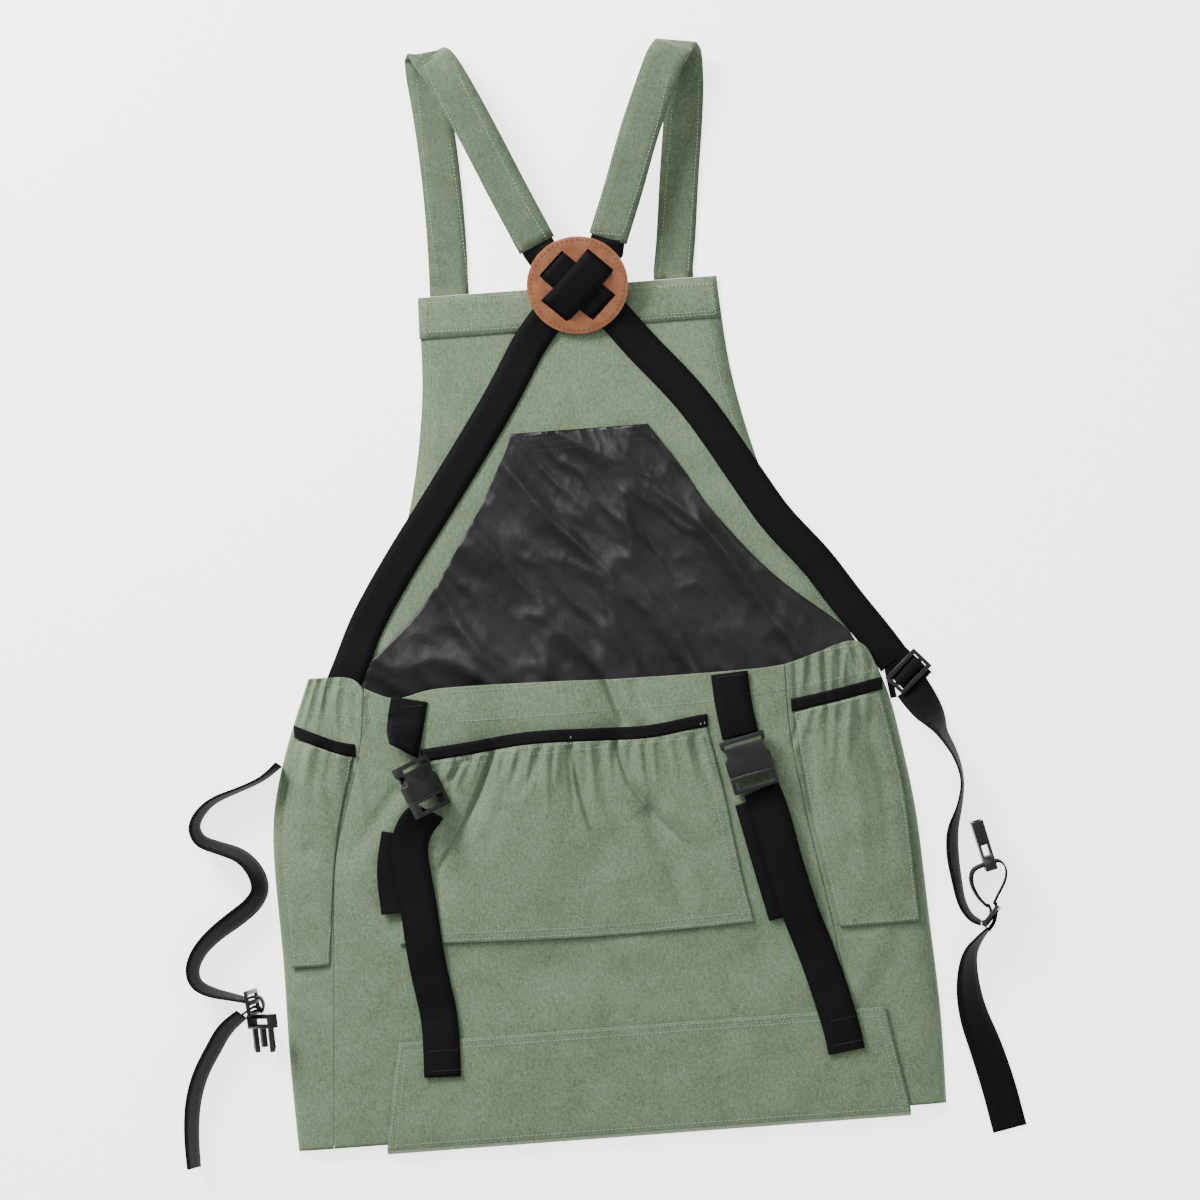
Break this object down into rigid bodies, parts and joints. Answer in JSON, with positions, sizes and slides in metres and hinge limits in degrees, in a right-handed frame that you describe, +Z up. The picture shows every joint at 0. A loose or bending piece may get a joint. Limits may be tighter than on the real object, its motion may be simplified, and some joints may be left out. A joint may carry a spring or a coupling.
{
  "type": "gardening apron",
  "caption": "Sage green canvas gardening apron with a gathered harvest pouch, black webbing straps crossed through a tan leather disc, and plastic buckles, laid flat",
  "frame": {"origin": "waist centre, on the underside of the back panel", "axes": "+X to the right in the picture, +Y from the waist to the bib's top, +Z up towards the viewer"},
  "size_m": [0.73, 0.977, 0.0643],
  "materials": {
    "canvas": "matte heathered twill",
    "webbing": "ribbed woven webbing",
    "nylon": "soft sheen, crinkled",
    "leather": "smooth grain",
    "plastic": "satin"
  },
  "bodies": {
    "root": {"back_panel": "canvas", "bib_top_band": "canvas", "bottom_flap": "canvas", "centre_panel": "canvas", "centre_pocket": "canvas", "centre_pocket_binding": "webbing", "cross_webbing_from_left": "webbing", "cross_webbing_from_right": "webbing", "leather_disc": "leather", "left_side_panel": "canvas", "left_side_pocket": "canvas", "left_side_pocket_binding": "webbing", "left_slider": "plastic", "lining_panel": "nylon", "pouch_buckle_left_prongs": "plastic", "pouch_buckle_left_socket": "plastic", "pouch_buckle_right_prongs": "plastic", "pouch_buckle_right_socket": "plastic", "pouch_strap_left_lower": "webbing", "pouch_strap_left_spare": "webbing", "pouch_strap_left_upper": "webbing", "pouch_strap_right_lower": "webbing", "pouch_strap_right_spare": "webbing", "pouch_strap_right_upper": "webbing", "right_buckle_loop": "webbing", "right_side_panel": "canvas", "right_side_pocket": "canvas", "right_side_pocket_binding": "webbing", "right_slider": "plastic", "shoulder_strap_left": "canvas", "shoulder_strap_right": "canvas", "slider_anchor": "webbing", "waist_buckle_prongs": "plastic", "waist_buckle_socket": "plastic", "waist_slider": "plastic", "waist_strap_left": "webbing", "waist_strap_right": "webbing", "waist_tail_left": "webbing", "waist_tail_right": "webbing"}
  },
  "joints": []
}
